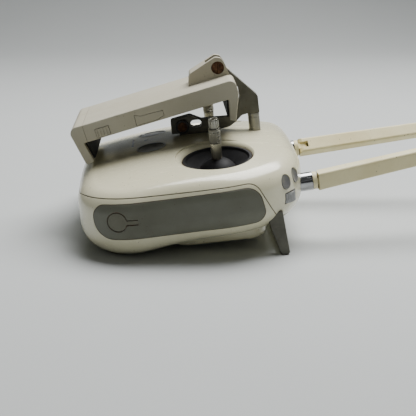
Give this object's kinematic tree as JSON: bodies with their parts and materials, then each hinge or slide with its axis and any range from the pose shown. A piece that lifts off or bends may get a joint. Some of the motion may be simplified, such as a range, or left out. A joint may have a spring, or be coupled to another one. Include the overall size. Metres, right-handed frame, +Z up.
{
  "type": "radio transmitter controller",
  "caption": "Moulded hand-held radio transmitter with sprung control sticks, folding antennas, thumb dials, keys, a handle bar that stands it up and a tilting, extending device holder.",
  "frame": {"origin": "centre of the bounding box footprint, on the surface it stands on", "axes": "+X to the operator's right, +Y away from the operator towards the antenna tips, +Z up"},
  "size_m": [0.186, 0.2928, 0.1135],
  "materials": {
    "shell": "gloss",
    "grip": "matte",
    "cap_rubber": "matte",
    "holder_plastic": "fine matte",
    "pad_rubber": "matte",
    "plain_steel": "plain",
    "brown_screw": "worn brown",
    "grey_metal": "satin",
    "nickel": "nickel plated",
    "socket_chrome": "bright",
    "cream_plastic": "aged",
    "pin_steel": "plain",
    "satin_silver": "satin",
    "key_grey": "gloss",
    "black_plastic": "matte",
    "lens": "clear",
    "cell_wrap": "film",
    "board": "solder mask"
  },
  "bodies": {
    "handset": {"antenna_sockets": "socket_chrome", "battery_lights": "lens", "battery_pack": "cell_wrap", "belly_cover": "shell", "boss_rings": "black_plastic", "boss_screw": "brown_screw", "bottom_shell": "shell", "bracket": "grey_metal", "bracket_post": "nickel", "case_screws": "brown_screw", "charge_jack": "black_plastic", "dial_axles": "pin_steel", "gimbal_cup_l": "black_plastic", "gimbal_cup_r": "black_plastic", "grip_panel_l": "grip", "grip_panel_r": "grip", "handle_bar": "grey_metal", "key_bezels": "satin_silver", "main_board": "board", "radio_module": "board", "status_light": "lens", "top_shell": "shell", "usb_socket": "plain_steel", "well_ring_l": "black_plastic", "well_ring_r": "black_plastic"},
    "gimbal_ring_r": {"gimbal_ring_r": "plain_steel"},
    "stick_r": {"stick_boot_r": "black_plastic", "stick_shaft_r": "nickel", "stick_knob_r": "nickel"},
    "gimbal_ring_l": {"gimbal_ring_l": "plain_steel"},
    "stick_l": {"stick_boot_l": "black_plastic", "stick_shaft_l": "nickel", "stick_knob_l": "nickel"},
    "power_key": {"power_key": "key_grey"},
    "home_key": {"home_key": "key_grey"},
    "shutter_key": {"shutter_key": "satin_silver"},
    "record_key": {"record_key": "satin_silver"},
    "playback_key": {"playback_key": "satin_silver"},
    "mode_switch": {"mode_switch": "black_plastic"},
    "dial_r": {"dial_r": "satin_silver"},
    "dial_l": {"dial_l": "satin_silver"},
    "antenna_swivel_r": {"antenna_swivel_r": "cream_plastic"},
    "antenna_r": {"antenna_pin_r": "pin_steel", "antenna_paddle_r": "cream_plastic"},
    "antenna_swivel_l": {"antenna_swivel_l": "cream_plastic"},
    "antenna_l": {"antenna_pin_l": "pin_steel", "antenna_paddle_l": "cream_plastic"},
    "holder": {"holder_plate": "holder_plastic", "holder_pads": "pad_rubber", "pivot_screw": "brown_screw"},
    "holder_jaw": {"holder_jaw": "holder_plastic", "jaw_rails": "plain_steel", "jaw_pad": "pad_rubber"},
    "holder_release": {"holder_release": "holder_plastic"},
    "holder_latch": {"holder_latch": "holder_plastic"},
    "charge_cap": {"charge_cap": "cap_rubber"},
    "rear_key_r": {"rear_key_r": "black_plastic"},
    "rear_key_l": {"rear_key_l": "black_plastic"}
  },
  "joints": [
    {"name": "stick_r_sideways", "type": "hinge", "parent": "handset", "child": "gimbal_ring_r", "pos_m": [0.05005, -0.05222, 0.04323], "axis": [0, 0.9945, 0.1045], "range_deg": [-16, 16], "stiffness_Nm_per_rad": 0.04},
    {"name": "stick_r_fore_aft", "type": "hinge", "parent": "gimbal_ring_r", "child": "stick_r", "pos_m": [0.05005, -0.05222, 0.04323], "axis": [-0.9925, -0.0127, 0.1212], "range_deg": [-16, 16], "stiffness_Nm_per_rad": 0.04},
    {"name": "stick_l_sideways", "type": "hinge", "parent": "handset", "child": "gimbal_ring_l", "pos_m": [-0.05005, -0.05222, 0.04323], "axis": [0, 0.9945, 0.1045], "range_deg": [-16, 16], "stiffness_Nm_per_rad": 0.04},
    {"name": "stick_l_fore_aft", "type": "hinge", "parent": "gimbal_ring_l", "child": "stick_l", "pos_m": [-0.05005, -0.05222, 0.04323], "axis": [-0.9925, 0.0127, -0.1212], "range_deg": [-16, 16], "stiffness_Nm_per_rad": 0.04},
    {"name": "power_key_press", "type": "slide", "parent": "handset", "child": "power_key", "axis": [-0.0654, 0.187, -0.9802], "range_m": [0, 0.0008], "stiffness_N_per_m": 900},
    {"name": "home_key_press", "type": "slide", "parent": "handset", "child": "home_key", "axis": [0.0654, 0.187, -0.9802], "range_m": [0, 0.0008], "stiffness_N_per_m": 900},
    {"name": "shutter_key_press", "type": "slide", "parent": "handset", "child": "shutter_key", "axis": [-0.6113, -0.6923, -0.3835], "range_m": [0, 0.001], "stiffness_N_per_m": 700},
    {"name": "record_key_press", "type": "slide", "parent": "handset", "child": "record_key", "axis": [0.6113, -0.6923, -0.3835], "range_m": [0, 0.001], "stiffness_N_per_m": 700},
    {"name": "playback_key_press", "type": "slide", "parent": "handset", "child": "playback_key", "axis": [-0.4266, -0.7969, -0.4277], "range_m": [0, 0.001], "stiffness_N_per_m": 700},
    {"name": "mode_switch_slide", "type": "slide", "parent": "handset", "child": "mode_switch", "axis": [0.891, 0.4515, 0.0475], "range_m": [-0.0035, 0.0035]},
    {"name": "settings_dial_turn", "type": "hinge", "parent": "handset", "child": "dial_r", "pos_m": [0.0668, -0.01351, 0.035], "axis": [0, -0.1045, 0.9945], "continuous": true},
    {"name": "tilt_dial_turn", "type": "hinge", "parent": "handset", "child": "dial_l", "pos_m": [-0.0668, -0.01351, 0.035], "axis": [0, -0.1045, 0.9945], "range_deg": [-30, 30], "stiffness_Nm_per_rad": 0.01},
    {"name": "antenna_r_swivel", "type": "hinge", "parent": "handset", "child": "antenna_swivel_r", "pos_m": [0.048, 0.00737, 0.03971], "axis": [0, 0.9898, 0.1426], "range_deg": [-100, 170]},
    {"name": "antenna_r_fold", "type": "hinge", "parent": "antenna_swivel_r", "child": "antenna_r", "pos_m": [0.048, 0.0145, 0.04074], "axis": [0.2078, -0.1395, 0.9682], "range_deg": [-10, 78]},
    {"name": "antenna_l_swivel", "type": "hinge", "parent": "handset", "child": "antenna_swivel_l", "pos_m": [-0.048, 0.00737, 0.03971], "axis": [0, 0.9898, 0.1426], "range_deg": [-170, 100]},
    {"name": "antenna_l_fold", "type": "hinge", "parent": "antenna_swivel_l", "child": "antenna_l", "pos_m": [-0.048, 0.0145, 0.04074], "axis": [0.7068, 0.1009, -0.7001], "range_deg": [0, 88]},
    {"name": "holder_tilt", "type": "hinge", "parent": "handset", "child": "holder", "pos_m": [0, -0.05125, 0.10665], "axis": [-1, 0, 0], "range_deg": [0, 120]},
    {"name": "jaw_slide", "type": "slide", "parent": "holder", "child": "holder_jaw", "axis": [0, -0.9583, -0.2857], "range_m": [0, 0.06]},
    {"name": "release_press", "type": "slide", "parent": "holder", "child": "holder_release", "axis": [-1, 0, 0], "range_m": [0, 0.0004], "stiffness_N_per_m": 700},
    {"name": "latch_press", "type": "slide", "parent": "holder", "child": "holder_latch", "axis": [-1, 0, 0], "range_m": [0, 0.0008], "stiffness_N_per_m": 700},
    {"name": "charge_cap_open", "type": "hinge", "parent": "handset", "child": "charge_cap", "pos_m": [0.09305, -0.10271, 0.02703], "axis": [0, -0.1045, 0.9945], "range_deg": [0, 100], "stiffness_Nm_per_rad": 0.002},
    {"name": "rear_key_r_press", "type": "slide", "parent": "handset", "child": "rear_key_r", "axis": [0, -0.1045, 0.9945], "range_m": [0, 0.0008], "stiffness_N_per_m": 700},
    {"name": "rear_key_l_press", "type": "slide", "parent": "handset", "child": "rear_key_l", "axis": [0, -0.1045, 0.9945], "range_m": [0, 0.0008], "stiffness_N_per_m": 700}
  ]
}
